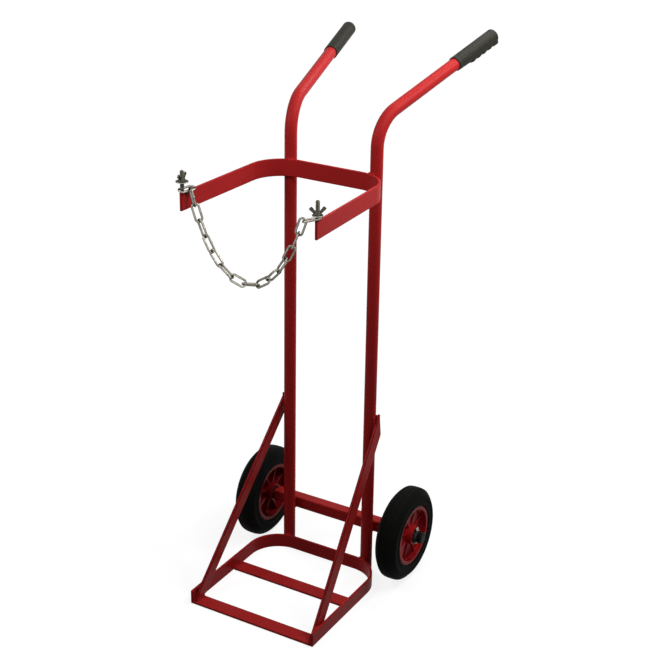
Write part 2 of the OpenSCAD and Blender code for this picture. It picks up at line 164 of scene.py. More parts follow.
def softened(corners, radius, steps=4):
    """Closed outline with round corners: a corner P becomes the curve (1-t)^2 A + 2t(1-t) P + t^2 B,
    where A and B lie a radius away from P on its two edges, or at most 0.45 of the edge."""
    p = np.asarray(corners, float)
    reach = np.broadcast_to(np.asarray(radius, float), len(p))[:, None]
    ends = []
    for neighbour in (1, -1):
        edge = np.roll(p, neighbour, axis=0) - p
        longest = 0.45 * np.linalg.norm(edge, axis=1, keepdims=True)
        ends.append((p + unit(edge) * np.minimum(reach, longest))[:, None])
    t = np.linspace(0, 1, steps)[None, :, None]
    curve = (1 - t) ** 2 * ends[0] + 2 * t * (1 - t) * p[:, None] + t ** 2 * ends[1]
    return curve.reshape(-1, 2)


def shrunk(outline, depth):
    """Closed counter-clockwise outline moved inwards: each point goes depth (n0 + n1) / (1 + n0.n1),
    with n0 and n1 the inward normals of its two edges."""
    after = unit(np.roll(outline, -1, axis=0) - outline)
    normal = np.stack([-after[:, 1], after[:, 0]], axis=-1)
    other = np.roll(normal, 1, axis=0)
    return outline + depth * (normal + other) / (1 + np.sum(normal * other, axis=1, keepdims=True))


def refined(outline, reach):
    """Closed outline with extra points a reach away from both ends of each long edge, so that the faces
    beside its corners stay flat."""
    closed = np.concatenate([outline, outline[:1]])
    length = np.linalg.norm(np.diff(closed, axis=0), axis=1)
    at = np.concatenate([[0], np.cumsum(length)])
    wide = length > 3 * reach
    places = np.sort(np.concatenate([at[:-1], at[:-1][wide] + reach, at[1:][wide] - reach]))
    return np.stack([np.interp(places, at, closed[:, 0]), np.interp(places, at, closed[:, 1])], axis=-1)


def edge_rows(edge):
    """Quarter round at an end: distance e (1 - cos t) from the end and inset e (1 - sin t), and one more
    row past it, from which the face is flat."""
    t = np.linspace(0, np.pi / 2, 4)
    return np.append(edge * (1 - np.cos(t)), FLAT_FROM * edge), np.append(edge * (1 - np.sin(t)), 0)


def carried(path, ahead, normal, section):
    """Section (a, b) carried along a flat path: point + a (normal x ahead) + b normal, for every row."""
    aside = np.cross(normal, ahead)
    return path[:, None] + section[..., :1] * aside[:, None] + section[..., 1:] * normal


def turned(foot, axis, zero, along, radius, steps=48):
    """Surface turned round an axis: foot + s axis + r (cos a zero + sin a (axis x zero)).
    The radius is one number a row, or one a row and step."""
    radius = np.asarray(radius, float)
    radius = radius[:, None] if radius.ndim == 1 else radius
    spoke = ring(steps) @ np.stack([zero, np.cross(axis, zero)])
    return foot + np.asarray(along)[:, None, None] * axis + radius[..., None] * spoke[None]


def bar(path, ahead, normal, wide, tall, edge):
    """Flat bar along a flat path: a rectangle wide x tall with round edges, the radius shrinking to
    nothing over a quarter round at both ends."""
    near, inset = edge_rows(edge)
    rows = np.concatenate([path[0] + near[:, None] * ahead[0], path[1:-1],
                           path[-1] - near[::-1, None] * ahead[-1]])
    heading = np.concatenate([np.repeat(ahead[:1], len(near), 0), ahead[1:-1],
                              np.repeat(ahead[-1:], len(near), 0)])
    inset = np.concatenate([inset, np.zeros(len(path) - 2), inset[::-1]])
    quarter = np.append(np.linspace(0, np.pi / 2, 4), [np.pi / 2, np.pi / 2])
    angle = quarter[None] + np.arange(4)[:, None] * np.pi / 2
    lean = np.stack([np.cos(angle), np.sin(angle)], axis=-1)
    mid = (np.arange(4) + 0.5) * np.pi / 2
    corner = np.sign(np.stack([np.cos(mid), np.sin(mid)], axis=-1)) * (np.array([wide, tall]) / 2 - edge)
    core = np.repeat(corner[:, None], len(quarter), 1)
    onward = np.stack([-lean[:, -1, 1], lean[:, -1, 0]], axis=-1)
    core[:, -2] += edge * onward
    core[:, -1] = np.roll(corner, -1, 0) - edge * onward
    section = core.reshape(1, -1, 2) + (edge - inset)[:, None, None] * lean.reshape(1, -1, 2)
    return carried(rows, heading, normal, section)


def plate(outline, origin, u, v, thick, edge):
    """Flat plate: a counter-clockwise outline x u + y v, carried through its thickness along u x v with
    the outline shrunk over a quarter round at both faces."""
    near, inset = edge_rows(edge)
    near, inset = np.append(0, near[:-1]), np.append(FLAT_FROM * edge, inset[:-1])
    depth = np.concatenate([near, thick - near[::-1]]) - thick / 2
    flat = np.stack([shrunk(outline, d) for d in np.concatenate([inset, inset[::-1]])])
    return origin + flat[..., :1] * u + flat[..., 1:] * v + depth[:, None, None] * np.cross(u, v)


def weld_bead(start, end, radius, bow=(0, 0, 0)):
    """Weld bead from start to end: a round section whose radius ripples with the wire's steps,
    r (1 - q + q cos(2 pi s / step)), and closes like half an ellipse at both ends. bow lifts its middle."""
    start, end = np.asarray(start, float), np.asarray(end, float)
    length = np.linalg.norm(end - start)
    step = 2.6 * MM
    ripple = 0.14
    row_gap = 0.35 * MM
    t = np.linspace(0, 1, max(24, int(length / row_gap)))
    path = start + t[:, None] * (end - start) + (4 * t * (1 - t))[:, None] * np.asarray(bow, float)
    near_end = np.clip(1 - np.minimum(t, 1 - t) * length / radius, 0, 1)
    closing = np.sqrt(np.clip(1 - near_end ** 2, 0.01, 1))
    swell = radius * closing * (1 - ripple + ripple * np.cos(2 * np.pi * t * length / step))
    heading = np.repeat(unit(end - start)[None], len(t), 0)
    aside = UP if abs(heading[0][2]) < 0.9 else ACROSS
    normal = unit(np.cross(heading[0], aside))
    return carried(path, heading, normal, swell[:, None, None] * ring(14)[None])


def edge_rub(points, closed):
    """How sharply a grid turns at each point, 0 on flat faces and 1 on edges: the surface normals of
    neighbours in both directions are compared."""
    if closed:
        down = np.roll(points, -1, 0) - np.roll(points, 1, 0)
    else:
        down = np.gradient(points, axis=0)
    normal = np.cross(np.roll(points, -1, 1) - np.roll(points, 1, 1), down)
    normal = normal / np.maximum(np.linalg.norm(normal, axis=-1, keepdims=True), 1e-12)
    turn = 1 - np.sum(normal * np.roll(normal, 1, 1), -1)
    turn = np.maximum(turn, np.roll(turn, -1, 1))
    rows = 1 - np.sum(normal * np.roll(normal, 1, 0), -1)
    if not closed:
        rows[0] = 0
    turn = np.maximum(turn, np.maximum(rows, np.roll(rows, -1, 0)))
    flat, sharp = 0.02, 0.1
    return np.clip((turn - flat) / (sharp - flat), 0, 1)


def make_piece(name, grids, body, finish, stands_for=(), crease=38):
    """One object from grids of points, whose columns close round. An open grid (points, False) gets flat
    faces over its first and last rows, a closed one (points, True) joins them."""
    corners, faces, rub = [], [], []
    count = 0
    for points, closed in grids:
        rows, cols = points.shape[:2]
        index = count + np.arange(rows * cols).reshape(rows, cols)
        low = index if closed else index[:-1]
        high = np.roll(index, -1, axis=0) if closed else index[1:]
        quads = np.stack([low, np.roll(low, -1, 1), np.roll(high, -1, 1), high], axis=-1)
        faces += quads.reshape(-1, 4).tolist()
        if not closed:
            faces += [index[0, ::-1].tolist(), index[-1].tolist()]
        corners.append(points.reshape(-1, 3))
        rub.append(edge_rub(points, closed).reshape(-1))
        count += rows * cols
    mesh = bpy.data.meshes.new(name)
    mesh.from_pydata(np.concatenate(corners).tolist(), [], faces)
    mesh.attributes.new("rub", "FLOAT", "POINT").data.foreach_set("value", np.concatenate(rub))
    mesh.polygons.foreach_set("use_smooth", np.ones(len(mesh.polygons), bool))
    mesh.set_sharp_from_angle(angle=math.radians(crease))
    mesh.materials.append(finish)
    obj = bpy.data.objects.new(name, mesh)
    bpy.context.scene.collection.objects.link(obj)
    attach(obj, body)
    if stands_for:
        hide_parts(*stands_for)


# Finishes

def new_group(name, values, results):
    """Empty shader node group with a Vector and number sockets; gives its tree, what goes in and what
    comes out."""
    tree = bpy.data.node_groups.new(name, "ShaderNodeTree")
    tree.interface.new_socket("Vector", in_out="INPUT", socket_type="NodeSocketVector")
    for label, value in values.items():
        socket = tree.interface.new_socket(label, in_out="INPUT", socket_type="NodeSocketFloat")
        socket.default_value = value
    for label in results:
        tree.interface.new_socket(label, in_out="OUTPUT", socket_type="NodeSocketFloat")
    return tree, tree.nodes.new("NodeGroupInput").outputs, tree.nodes.new("NodeGroupOutput").inputs


def add(tree, kind, sockets=(), **settings):
    """Adds a node, sets its properties, and links or sets the sockets given as (name or place, value)."""
    node = tree.nodes.new(kind)
    for key, value in settings.items():
        setattr(node, key, value)
    for label, value in sockets:
        if isinstance(value, bpy.types.NodeSocket):
            tree.links.new(value, node.inputs[label])
        else:
            node.inputs[label].default_value = value
    return node


def calculated(tree, operation, *values, clamp=False):
    """Result of a calculation on values, each a number or another node's value."""
    node = add(tree, "ShaderNodeMath", enumerate(values), operation=operation, use_clamp=clamp)
    return node.outputs[0]


def mapped(tree, value, low, high, to_low=0.0, to_high=1.0, **settings):
    """Brings a value from low..high to to_low..to_high and holds it there."""
    node = add(tree, "ShaderNodeMapRange", [("Value", value), ("From Min", low), ("From Max", high),
                                            ("To Min", to_low), ("To Max", to_high)], **settings)
    return node.outputs[0]


def noise(tree, coords, scale, detail):
    """Cloudy noise from 0 to 1."""
    node = add(tree, "ShaderNodeTexNoise", [("Vector", coords), ("Scale", scale), ("Detail", detail)])
    return node.outputs["Fac"]


def mottle_group():
    """Cloudy patches and fine grain: two noises of different size."""
    tree, given, results = new_group("Mottle", {"Patch": 12.0, "Grain": 600.0}, ["Patches", "Grain"])
    tree.links.new(noise(tree, given["Vector"], given["Patch"], 4.0), results["Patches"])
    tree.links.new(noise(tree, given["Vector"], given["Grain"], 2.0), results["Grain"])
    return tree


def rub_group():
    """Wear on edges: the rub attribute, broken up by noise and cut off softly."""
    tree, given, results = new_group("Edge rub", {"Size": 90.0, "Reach": 0.5}, ["Mask"])
    rub = add(tree, "ShaderNodeAttribute", attribute_name="rub").outputs["Fac"]
    spots = calculated(tree, "MULTIPLY", rub, noise(tree, given["Vector"], given["Size"], 5.0))
    over = calculated(tree, "SUBTRACT", spots, given["Reach"])
    steepness = 9.0
    tree.links.new(calculated(tree, "MULTIPLY", over, steepness, clamp=True), results["Mask"])
    return tree


def dust_group():
    """Dust that settles: strongest on faces that look up, broken up by noise."""
    tree, given, results = new_group("Settled dust", {"Size": 25.0, "Amount": 0.3}, ["Mask"])
    normal = add(tree, "ShaderNodeNewGeometry").outputs["Normal"]
    height = add(tree, "ShaderNodeSeparateXYZ", [("Vector", normal)]).outputs["Z"]
    upward = mapped(tree, height, -0.4, 1.0)
    both = calculated(tree, "MULTIPLY", upward, noise(tree, given["Vector"], given["Size"], 6.0))
    tree.links.new(calculated(tree, "MULTIPLY", both, given["Amount"], clamp=True), results["Mask"])
    return tree


MOTTLE = mottle_group()
RUB = rub_group()
DUST = dust_group()
# Places of the colours among a mix node's sockets
MIX_FIRST = 6
MIX_SECOND = 7
MIX_RESULT = 2


def use(tree, group, coords, **values):
    """Places a shared group in a material with its own values; gives what comes out of it."""
    return add(tree, "ShaderNodeGroup", [("Vector", coords), *values.items()], node_tree=group).outputs


def blend(tree, mask, first, second):
    """Colour between first and second by a mask; each is a colour or another node's colour."""
    sockets = [("Factor", mask)]
    for place, colour in ((MIX_FIRST, first), (MIX_SECOND, second)):
        linked = isinstance(colour, bpy.types.NodeSocket)
        sockets.append((place, colour if linked else (*colour, 1)))
    return add(tree, "ShaderNodeMix", sockets, data_type="RGBA").outputs[MIX_RESULT]


def scaled(tree, value, low, high):
    """Brings a value from 0..1 to low..high."""
    return mapped(tree, value, 0.0, 1.0, low, high)


def new_finish(name, **constants):
    """Material with a Principled BSDF whose constant sockets are set; gives the material, its tree, its
    shader and its coordinates."""
    material = bpy.data.materials.new(name)
    material.use_nodes = True
    tree = material.node_tree
    shader = tree.nodes["Principled BSDF"]
    for label, value in constants.items():
        shader.inputs[label.replace("_", " ")].default_value = value
    coords = add(tree, "ShaderNodeTexCoord").outputs["Object"]
    return material, tree, shader, coords


def roughen(tree, shader, height, strength, distance):
    """Bump from a height."""
    bump = add(tree, "ShaderNodeBump", [("Height", height), ("Strength", strength), ("Distance", distance)])
    tree.links.new(bump.outputs["Normal"], shader.inputs["Normal"])


def powder_coat():
    """Red powder coat: slightly uneven gloss, rubbed darker on edges, a little dust."""
    material, tree, shader, coords = new_finish("red_powder_coat", Specular_IOR_Level=0.055)
    clouds = use(tree, MOTTLE, coords, Patch=9.0)
    worn = use(tree, RUB, coords, Size=60.0, Reach=0.42)
    dust = use(tree, DUST, coords, Size=40.0, Amount=0.05)
    red = blend(tree, clouds["Patches"], (0.42, 0.0165, 0.017), (0.48, 0.0195, 0.02))
    red = blend(tree, dust["Mask"], red, (0.50, 0.16, 0.15))
    red = blend(tree, worn["Mask"], red, (0.36, 0.014, 0.0145))
    tree.links.new(red, shader.inputs["Base Color"])
    tree.links.new(scaled(tree, clouds["Patches"], 0.34, 0.5), shader.inputs["Roughness"])
    return material


# Depth over which the wheel's painted shade and grime on the frame's side fades out
SHADE_AND_GRIME_DEPTH = 6 * MM


def wheel_plastic():
    """Red moulded plastic: glossier than the paint, with faint flow marks, and painted shade and grime on the
    frame's side.
    """
    material, tree, shader, coords = new_finish("red_wheel_plastic", Specular_IOR_Level=0.05)
    clouds = use(tree, MOTTLE, coords, Patch=22.0, Grain=900.0)
    dust = use(tree, DUST, coords, Size=60.0, Amount=0.07)
    red = blend(tree, clouds["Patches"], (0.45, 0.009, 0.0135), (0.54, 0.0135, 0.02))
    red = blend(tree, dust["Mask"], red, (0.30, 0.10, 0.09))
    # Painted shade and grime: the red turns dark on the side of the wheel that faces the frame.
    sideways = add(tree, "ShaderNodeSeparateXYZ", [("Vector", coords)]).outputs["X"]
    clean_and_lit = mapped(tree, calculated(tree, "ABSOLUTE", sideways), WHEEL_X - SHADE_AND_GRIME_DEPTH, WHEEL_X)
    red = blend(tree, clean_and_lit, (0.2, 0.006, 0.008), red)
    tree.links.new(red, shader.inputs["Base Color"])
    tree.links.new(scaled(tree, clouds["Patches"], 0.26, 0.42), shader.inputs["Roughness"])
    roughen(tree, shader, clouds["Grain"], 0.05, 0.2 * MM)
    return material


def tyre_rubber():
    """Black solid rubber: dull, fine-grained, grey with dust where it looks up."""
    material, tree, shader, coords = new_finish("tyre_rubber", Specular_IOR_Level=0.03)
    clouds = use(tree, MOTTLE, coords, Patch=30.0, Grain=1400.0)
    dust = use(tree, DUST, coords, Size=80.0, Amount=0.06)
    black = blend(tree, clouds["Patches"], (0.0045, 0.0045, 0.0042), (0.010, 0.010, 0.0092))
    black = blend(tree, dust["Mask"], black, (0.05, 0.047, 0.043))
    tree.links.new(black, shader.inputs["Base Color"])
    tree.links.new(scaled(tree, clouds["Grain"], 0.66, 0.86), shader.inputs["Roughness"])
    roughen(tree, shader, clouds["Grain"], 0.25, 0.25 * MM)
    return material


def grip_rubber():
    """Dark warm grey soft plastic with a fine leather grain, paler where hands rub it."""
    material, tree, shader, coords = new_finish("grip_rubber", Specular_IOR_Level=0.085)
    clouds = use(tree, MOTTLE, coords, Patch=45.0, Grain=1100.0)
    worn = use(tree, RUB, coords, Size=120.0, Reach=0.45)
    grain = add(tree, "ShaderNodeTexVoronoi", [("Vector", coords), ("Scale", 900.0)])
    grey = blend(tree, clouds["Patches"], (0.013, 0.0119, 0.0078), (0.0215, 0.0197, 0.0134))
    grey = blend(tree, worn["Mask"], grey, (0.036, 0.034, 0.026))
    tree.links.new(grey, shader.inputs["Base Color"])
    tree.links.new(scaled(tree, clouds["Grain"], 0.46, 0.64), shader.inputs["Roughness"])
    roughen(tree, shader, grain.outputs["Distance"], 0.10, 0.2 * MM)
    return material


def cap_plastic():
    """Black push-on plastic, satin, with faint scuffs."""
    material, tree, shader, coords = new_finish("black_cap_plastic", Specular_IOR_Level=0.05)
    clouds = use(tree, MOTTLE, coords, Patch=120.0, Grain=1500.0)
    worn = use(tree, RUB, coords, Size=200.0, Reach=0.4)
    black = blend(tree, clouds["Patches"], (0.004, 0.0038, 0.0036), (0.009, 0.0086, 0.0082))
    black = blend(tree, worn["Mask"], black, (0.03, 0.03, 0.03))
    tree.links.new(black, shader.inputs["Base Color"])
    tree.links.new(scaled(tree, clouds["Patches"], 0.38, 0.6), shader.inputs["Roughness"])
    roughen(tree, shader, clouds["Grain"], 0.1, 0.2 * MM)
    return material


EDGE_TINT = (0.3, 0.29, 0.26, 1)


def plated_metal(name, dull, bright, stain_and_rim_shade, smooth, rough):
    """Plated steel: cloudy grey between dull and bright, stained in patches that are less metallic, gloss
    uneven, edges rubbed bright, and painted shade where it turns away from the view, where the grey runs to
    the stain colour."""
    material, tree, shader, coords = new_finish(name, Specular_Tint=EDGE_TINT)
    clouds = use(tree, MOTTLE, coords, Patch=90.0)
    worn = use(tree, RUB, coords, Size=260.0, Reach=0.48)
    crystal = add(tree, "ShaderNodeTexVoronoi", [("Vector", coords), ("Scale", 1100.0)])
    grey = blend(tree, crystal.outputs["Distance"], dull, bright)
    grey = blend(tree, scaled(tree, clouds["Patches"], -0.9, 1.0), grey, stain_and_rim_shade)
    grey = blend(tree, worn["Mask"], grey, bright)
    # Painted shade: the grey darkens to the stain colour where the surface turns away from the view.
    away = add(tree, "ShaderNodeLayerWeight", [("Blend", 0.5)]).outputs["Facing"]
    grey = blend(tree, mapped(tree, away, 0.1, 0.64), grey, stain_and_rim_shade)
    tree.links.new(grey, shader.inputs["Base Color"])
    tree.links.new(scaled(tree, clouds["Patches"], 1.0, 0.55), shader.inputs["Metallic"])
    tree.links.new(scaled(tree, clouds["Patches"], smooth, rough), shader.inputs["Roughness"])
    roughen(tree, shader, clouds["Patches"], 0.05, 0.1 * MM)
    return material


RED = powder_coat()
WHEEL_RED = wheel_plastic()
TYRE = tyre_rubber()
GRIP = grip_rubber()
CAP = cap_plastic()
ZINC = plated_metal(
    "zinc_plate", (0.055, 0.052, 0.036), (0.13, 0.125, 0.098), (0.028, 0.026, 0.018), 0.2, 0.36)
PALE = plated_metal("pale_zinc", (0.34, 0.35, 0.31), (0.56, 0.57, 0.52), (0.12, 0.12, 0.1), 0.22, 0.38)
BRIGHT = plated_metal("bright_zinc", (0.44, 0.41, 0.36), (0.66, 0.63, 0.56), (0.13, 0.12, 0.1), 0.2, 0.36)
CHAIN = plated_metal("chain_zinc", (0.22, 0.203, 0.16), (0.52, 0.49, 0.42), (0.03, 0.026, 0.017), 0.2, 0.36)
# Near-black plating for the axle washers.
DARK_WASHER_ZINC = plated_metal(
    "dark_washer_zinc", (0.022, 0.019, 0.017), (0.06, 0.056, 0.05), (0.01, 0.008, 0.007), 0.24, 0.4)
STEEL = plated_metal("axle_steel", (0.18, 0.18, 0.18), (0.28, 0.28, 0.28), (0.07, 0.068, 0.065), 0.22, 0.42)


# Frame

def handle_heading(side, sign):
    """Level direction that a handle points, and the flat normal of its bend."""
    level = np.array([sign * math.sin(SPLAYS[side]), math.cos(SPLAYS[side]), 0])
    return level, np.cross(level, UP)


def handle_line(side, sign):
    """Start of the straight handle and its direction."""
    level, _ = handle_heading(side, sign)
    bend = BENDS[side]
    foot = np.array([sign * UPRIGHT_X, UPRIGHT_Y, BEND_H])
    start = foot + BEND_R * ((1 - math.cos(bend)) * level + math.sin(bend) * UP)
    return start, math.sin(bend) * level + math.cos(bend) * UP


def upright(side, sign):
    """Tube along a straight, an arc and a straight: the foot shows the wall, and the arc's points are
    R (1 - cos t) level + R sin t up."""
    level, normal = handle_heading(side, sign)
    foot = np.array([sign * UPRIGHT_X, UPRIGHT_Y, 0])
    bore = TUBE_R - TUBE_WALL
    lip = 0.5 * MM
    bore_depth = 30 * MM
    rise = np.array([bore_depth, 3 * lip, lip, 0, 0, lip, 3 * lip, BEND_H])
    radius = np.array([bore, bore, bore, bore + lip, TUBE_R - lip, TUBE_R, TUBE_R, TUBE_R])
    t = np.linspace(0, BENDS[side], 25)[1:, None]
    arc = foot + BEND_H * UP + BEND_R * ((1 - np.cos(t)) * level + np.sin(t) * UP)
    start, heading = handle_line(side, sign)
    path = np.concatenate([foot + rise[:, None] * UP, arc, [start + HANDLE_LEN * heading]])
    ahead = np.concatenate([np.repeat(UP[None], len(rise), 0), np.sin(t) * level + np.cos(t) * UP, [heading]])
    radius = np.concatenate([radius, np.full(len(t) + 1, TUBE_R)])
    tube = carried(path, ahead, normal, radius[:, None, None] * ring(64)[None])
    make_piece(f"{side}_tube", [(tube, False)], "frame", RED, [f"{side}_upright"])


def grip(side, sign):
    """Sleeve along the handle, radius r(s, a): round on top with shallow flutes, and a fin underneath that
    deepens from the open end and is scalloped for the fingers, |cos(pi s / pitch)|^0.7. The end is
    rounded."""
    start, heading = handle_line(side, sign)
    _, normal = handle_heading(side, sign)
    upper = np.cross(normal, heading)
    upper = math.cos(GRIP_TURNS[side]) * upper + math.sin(GRIP_TURNS[side]) * np.cross(heading, upper)
    first = HANDLE_LEN + PUSH_FIT + GRIP_END - GRIP_LEN
    steps = 128
    around = ring(steps)
    end = 1.6 * MM
    lip = 0.4 * MM
    s = np.concatenate([[0, 0, lip], np.linspace(1 * MM, GRIP_LEN - end, 160)])
    low_side = np.clip((-FIN_FROM - around[:, 0]) / FIN_BLEND, 0, 1)
    under = low_side ** 2 * (3 - 2 * low_side)
    fin = FIN_DEPTH * np.clip(s / FIRST_RIDGE, 0, 1)
    scallop = np.abs(np.cos(np.pi * (np.minimum(s, LAST_RIDGE) - LAST_RIDGE) / RIDGE_PITCH)) ** 0.7
    scallop = SCALLOP_DEPTH * scallop * np.clip((s - FIRST_RIDGE + 0.5 * RIDGE_PITCH) / (4 * MM), 0, 1)
    wave = 0.5 - 0.5 * np.cos(FLUTE_COUNT * np.arctan2(around[:, 1], around[:, 0]))
    flutes = FLUTE_DEPTH * wave * (1 - under) ** 3
    fluted = np.clip(np.minimum(s - 6 * MM, GRIP_LEN - 7 * MM - s) / (3 * MM), 0, 1)
    body = GRIP_R + (fin + scallop)[:, None] * under[None] - fluted[:, None] * flutes[None]
    body[0] = TUBE_R + GRIP_PLAY
    body[1] = GRIP_R - lip
    t = np.linspace(0, np.pi / 2, 8)[1:]
    closing = body[-1][None] - end * (1 - np.cos(t))[:, None]
    flat = closing[-1][None] * np.array([[0.8], [0.5]])
    along = first + np.concatenate([s, GRIP_LEN - end + end * np.sin(t), [GRIP_LEN, GRIP_LEN]])
    sleeve = turned(start, heading, upper, along, np.concatenate([body, closing, flat]), steps)
    make_piece(f"{side}_sleeve", [(sleeve, False)], "frame", GRIP, [f"{side}_grip"])


def corner_front(corner_x):
    """Distance of a band's corner centre in front of the upright axes, where the corner touches the tube."""
    reach = CORNER_R + BAR_T + BEND_SWELL + TUBE_R + WELD_GAP
    return math.sqrt(reach ** 2 - max(0, UPRIGHT_X - corner_x) ** 2)


UPPER_CORNER_X = ARM_GAP / 2 - CORNER_R * math.cos(ARM_SPLAY)
BASE_CORNER_X = BASE_HALF - CORNER_R - BAR_T


def band(name, node, corner_x, splay, reach, top, wide):
    """Bar on edge along a U: straight arm, arc of the corner, straight back, and the same again mirrored."""
    front = corner_front(corner_x)
    mid = CORNER_R + BAR_T / 2
    angle = np.linspace(splay, np.pi / 2, 17)
    bend = np.stack([corner_x + mid * np.cos(angle), mid * np.sin(angle) - front], axis=-1)
    arm = (reach + bend[0, 1]) / math.cos(splay)
    tip = bend[:1] + arm * np.array([[math.sin(splay), -math.cos(splay)]])
    half = np.concatenate([tip, bend])
    heading = np.concatenate([[[-math.sin(splay), math.cos(splay)]],
                              np.stack([-np.sin(angle), np.cos(angle)], axis=-1)])
    other = half[::-1] * [-1, 1]
    path = np.concatenate([half, other])
    ahead = np.concatenate([heading, heading[::-1] * [1, -1]])
    level = np.full((len(path), 1), top - wide / 2)
    path = np.concatenate([path + [0, UPRIGHT_Y], level], axis=1)
    ahead = np.concatenate([ahead, 0 * level], axis=1)
    strip = bar(path, ahead, UP, BAR_T, wide, BAR_EDGE)
    make_piece(name, [(strip, False)], "frame", RED, [node])


def straight_bar(name, node, wide, tall, edge):
    """Straight bar across the trolley, from one end of its CAD node to the other."""
    low, high = span(node)
    mid = (low + high) / 2
    path = np.array([[low[0], mid[1], mid[2]], [high[0], mid[1], mid[2]]])
    strip = bar(path, np.repeat(ACROSS[None], 2, 0), UP, wide, tall, edge)
    make_piece(name, [(strip, False)], "frame", RED, [node])


BRACE_FOOT_X = BASE_HALF - BAR_T - WELD_GAP
BRACE_RISE = BRACE_TOP - BAR_T - WELD_GAP
BRACE_SHIFT = BRACE_FOOT_X - UPRIGHT_X - TUBE_R - WELD_GAP
BRACE_LEAN = math.asin(BRACE_SHIFT / math.hypot(BRACE_RISE, BAR_T)) - math.atan(BAR_T / BRACE_RISE)
BRACE_SLOPE = math.atan2(BRACE_RISE, BASE_REACH + BRACE_OVERRUN)


def brace(side, sign):
    """Plate with a level foot and an upright top, leaning in from the base's side to the tube's side."""
    corner_r = 2 * MM
    flat_from = 3 * MM
    outline = softened([[-BASE_REACH, 0], [-BASE_REACH + BAR_W / math.sin(BRACE_SLOPE), 0],
                        [BRACE_OVERRUN, BRACE_RISE - BAR_W / math.cos(BRACE_SLOPE)],
                        [BRACE_OVERRUN, BRACE_RISE]], corner_r)
    outline = refined(outline, flat_from)
    rise = np.array([-sign * math.sin(BRACE_LEAN), 0, math.cos(BRACE_LEAN)])
    inward = np.array([-sign * math.cos(BRACE_LEAN), 0, -math.sin(BRACE_LEAN)])
    foot = np.array([sign * BRACE_FOOT_X, UPRIGHT_Y, BAR_T + WELD_GAP + BAR_T * math.sin(BRACE_LEAN)])
    strip = plate(outline, foot + inward * BAR_T / 2, BACK, rise, BAR_T, BAR_EDGE)
    make_piece(f"{side}_brace_bar", [(strip, False)], "frame", RED, [f"{side}_brace"])


def band_seams(sign, tube, corner_x, top, wide):
    """Beads where a band's corner meets a tube: one down each side of the tube and one across the top."""
    corner = np.array([sign * corner_x, UPRIGHT_Y - corner_front(corner_x), 0])
    toward = unit(tube - corner)
    touch = tube - toward * TUBE_R
    along = np.cross(UP, toward)
    short = 2 * MM
    apart = 6.5 * MM
    beads = []
    for turn in (-1, 1):
        seam = touch + turn * apart * along + 0.9 * MM * toward
        beads.append(weld_bead(seam + (top - wide + short) * UP, seam + (top - short) * UP, SIDE_BEAD))
    seam = touch + (top + 0.2 * MM) * UP - 0.6 * MM * toward
    half = 8 * MM * along
    beads.append(weld_bead(seam - half, seam + half, TOP_BEAD, 1.2 * MM * toward))
    return beads


def brace_seams(sign):
    """Two beads down the top of a brace, where it lies against the tube's side."""
    side = sign * (UPRIGHT_X + TUBE_R)
    beads = []
    for seam_y in (UPRIGHT_Y - 6 * MM, UPRIGHT_Y + 5 * MM):
        low_end = [side - sign * 0.6 * MM, seam_y, BRACE_TOP - 34 * MM]
        high_end = [side + sign * 0.2 * MM, seam_y, BRACE_TOP - 1 * MM]
        beads.append(weld_bead(low_end, high_end, FLAT_BEAD))
    return beads


def beam_seams(tube):
    """Beads along the axle beam's lower and upper edge, behind a tube."""
    half = 9 * MM * ACROSS
    beads = []
    for height in (-1, 1):
        seam_z = AXLE[2] + height * (BEAM_SIDE / 2 - 1 * MM)
        seam = np.array([tube[0], UPRIGHT_Y + TUBE_R - 0.5 * MM, seam_z])
        beads.append(weld_bead(seam - half, seam + half, TOP_BEAD))
    return beads


def deck_seams(sign):
    """Beads over the ends of the base's two flat bars."""
    seam_x = sign * (BASE_HALF - BAR_T - 0.4 * MM)
    short = 3 * MM
    beads = []
    for node in ("base_front_bar", "base_middle_bar"):
        low, high = span(node)
        beads.append(weld_bead([seam_x, low[1] + short, BAR_T], [seam_x, high[1] - short, BAR_T], FLAT_BEAD))
    return beads


def foot_seams(sign):
    """Beads round a brace's foot: along its inner face, along the base band's upper edge, and across its
    toe."""
    inner = sign * (BASE_HALF - BAR_T)
    front = UPRIGHT_Y - BASE_REACH
    foot_x = sign * (BRACE_FOOT_X - BAR_T - 0.5 * MM)
    low, high, toe = BAR_T + 0.5 * MM, BAR_W - 0.5 * MM, BAR_T + 1 * MM
    lines = (([foot_x, front + 6 * MM, low], [foot_x, front + 34 * MM, low], FOOT_BEAD),
             ([inner, front + 10 * MM, high], [inner - sign * 1.2 * MM, front + 30 * MM, high], SIDE_BEAD),
             ([foot_x, front + 0.8 * MM, toe], [foot_x + sign * 5 * MM, front + 0.8 * MM, toe], TOE_BEAD))
    return [weld_bead(*line) for line in lines]


def frame_welds():
    """Beads where the bars meet the tubes and each other, on both sides, as one piece."""
    beads = []
    for _, sign in SIDES:
        tube = np.array([sign * UPRIGHT_X, UPRIGHT_Y, 0])
        beads += band_seams(sign, tube, UPPER_CORNER_X, BAND_TOP, BAND_W)
        beads += band_seams(sign, tube, BASE_CORNER_X, BAR_W, BAR_W)
        beads += brace_seams(sign) + beam_seams(tube) + deck_seams(sign) + foot_seams(sign)
    make_piece("weld_beads", [(b, False) for b in beads], "frame", RED, crease=60)


# Wheels

def wheel_ring(profile, sign):
    """Closed outline (distance out along the axle from the wheel's middle, radius) turned round the axle."""
    foot = np.array([sign * WHEEL_X, AXLE[1], AXLE[2]])
    return turned(foot, sign * ACROSS, UP, profile[:, 0], profile[:, 1], 96)


def clockwise_closed(half, inner=None):
    """Outline of a ring: its outer half, from the bore up to the middle of the outside, after the mirrored
    inner half, which is the same where none is given."""
    half = np.asarray(half, float)
    inner = half if inner is None else np.asarray(inner, float)
    return np.concatenate([inner * [-1, 1], half[::-1]])


